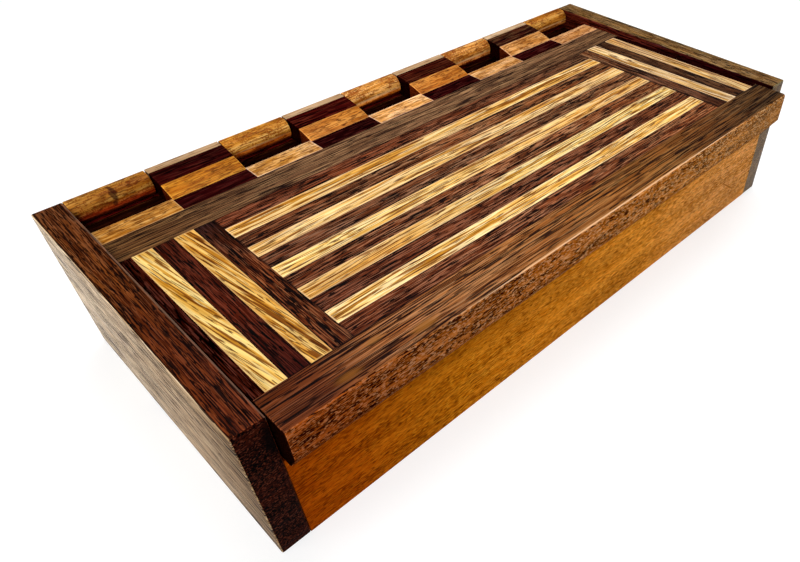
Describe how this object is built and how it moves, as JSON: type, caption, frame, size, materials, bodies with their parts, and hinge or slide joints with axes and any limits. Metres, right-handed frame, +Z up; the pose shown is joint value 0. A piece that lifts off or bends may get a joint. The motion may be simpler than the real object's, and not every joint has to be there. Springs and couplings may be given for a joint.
{
  "type": "wooden hinged box",
  "caption": "Low wooden keepsake box with raised dark end boards and a striped laminated lid that turns on a chequered wooden knuckle hinge.",
  "frame": {"origin": "middle of the case's underside, on the surface that the box stands on", "axes": "+X along the length to the right, +Y from the front to the hinge at the back, +Z up"},
  "size_m": [0.33, 0.1604, 0.0708],
  "materials": {
    "end_board_wood": "oiled dark walnut",
    "panel_wood": "oiled cherry",
    "rail_wood": "oiled walnut",
    "dark_strip_wood": "oiled dark walnut",
    "golden_wood": "oiled golden wood with brown streaks",
    "light_wood": "oiled light cherry",
    "dark_block_wood": "oiled near-black wood",
    "pale_wood": "oiled pale wood",
    "pin_metal": "plain rod"
  },
  "bodies": {
    "case": {"left_end_board": "end_board_wood", "right_end_board": "end_board_wood", "front_panel": "panel_wood", "back_board": "end_board_wood", "bottom_panel": "panel_wood", "hinge_pin": "pin_metal", "barrel_1": "light_wood", "barrel_2": "light_wood", "barrel_3": "light_wood", "barrel_4": "light_wood", "barrel_5": "light_wood"},
    "lid": {"front_rail": "rail_wood", "back_rail": "rail_wood", "left_edge_strip": "dark_strip_wood", "right_edge_strip": "dark_strip_wood", "cross_stripe_1": "golden_wood", "cross_stripe_2": "golden_wood", "cross_stripe_3": "golden_wood", "cross_stripe_4": "golden_wood", "cross_dark_1": "dark_strip_wood", "cross_dark_2": "dark_strip_wood", "cross_dark_3": "dark_strip_wood", "cross_dark_4": "dark_strip_wood", "long_stripe_1": "golden_wood", "long_stripe_2": "golden_wood", "long_stripe_3": "golden_wood", "long_stripe_4": "golden_wood", "long_stripe_5": "golden_wood", "long_dark_1": "dark_strip_wood", "long_dark_2": "dark_strip_wood", "long_dark_3": "dark_strip_wood", "long_dark_4": "dark_strip_wood", "long_dark_5": "dark_strip_wood", "long_dark_6": "dark_strip_wood", "light_block_1": "light_wood", "light_block_2": "light_wood", "light_block_3": "light_wood", "light_block_4": "light_wood", "light_block_5": "light_wood", "dark_block_1": "dark_block_wood", "dark_block_2": "dark_block_wood", "dark_block_3": "dark_block_wood", "dark_block_4": "dark_block_wood", "neck_1": "light_wood", "neck_2": "light_wood", "neck_3": "light_wood", "neck_4": "light_wood", "knuckle_1": "dark_block_wood", "knuckle_2": "dark_block_wood", "knuckle_3": "dark_block_wood", "knuckle_4": "dark_block_wood", "back_strip_1": "pale_wood", "back_strip_2": "pale_wood", "back_strip_3": "pale_wood", "back_strip_4": "pale_wood"}
  },
  "joints": [
    {"name": "lid_hinge", "type": "hinge", "parent": "case", "child": "lid", "pos_m": [0, 0.07253, 0.0656], "axis": [-1, 0, 0], "range_deg": [0, 105]}
  ]
}
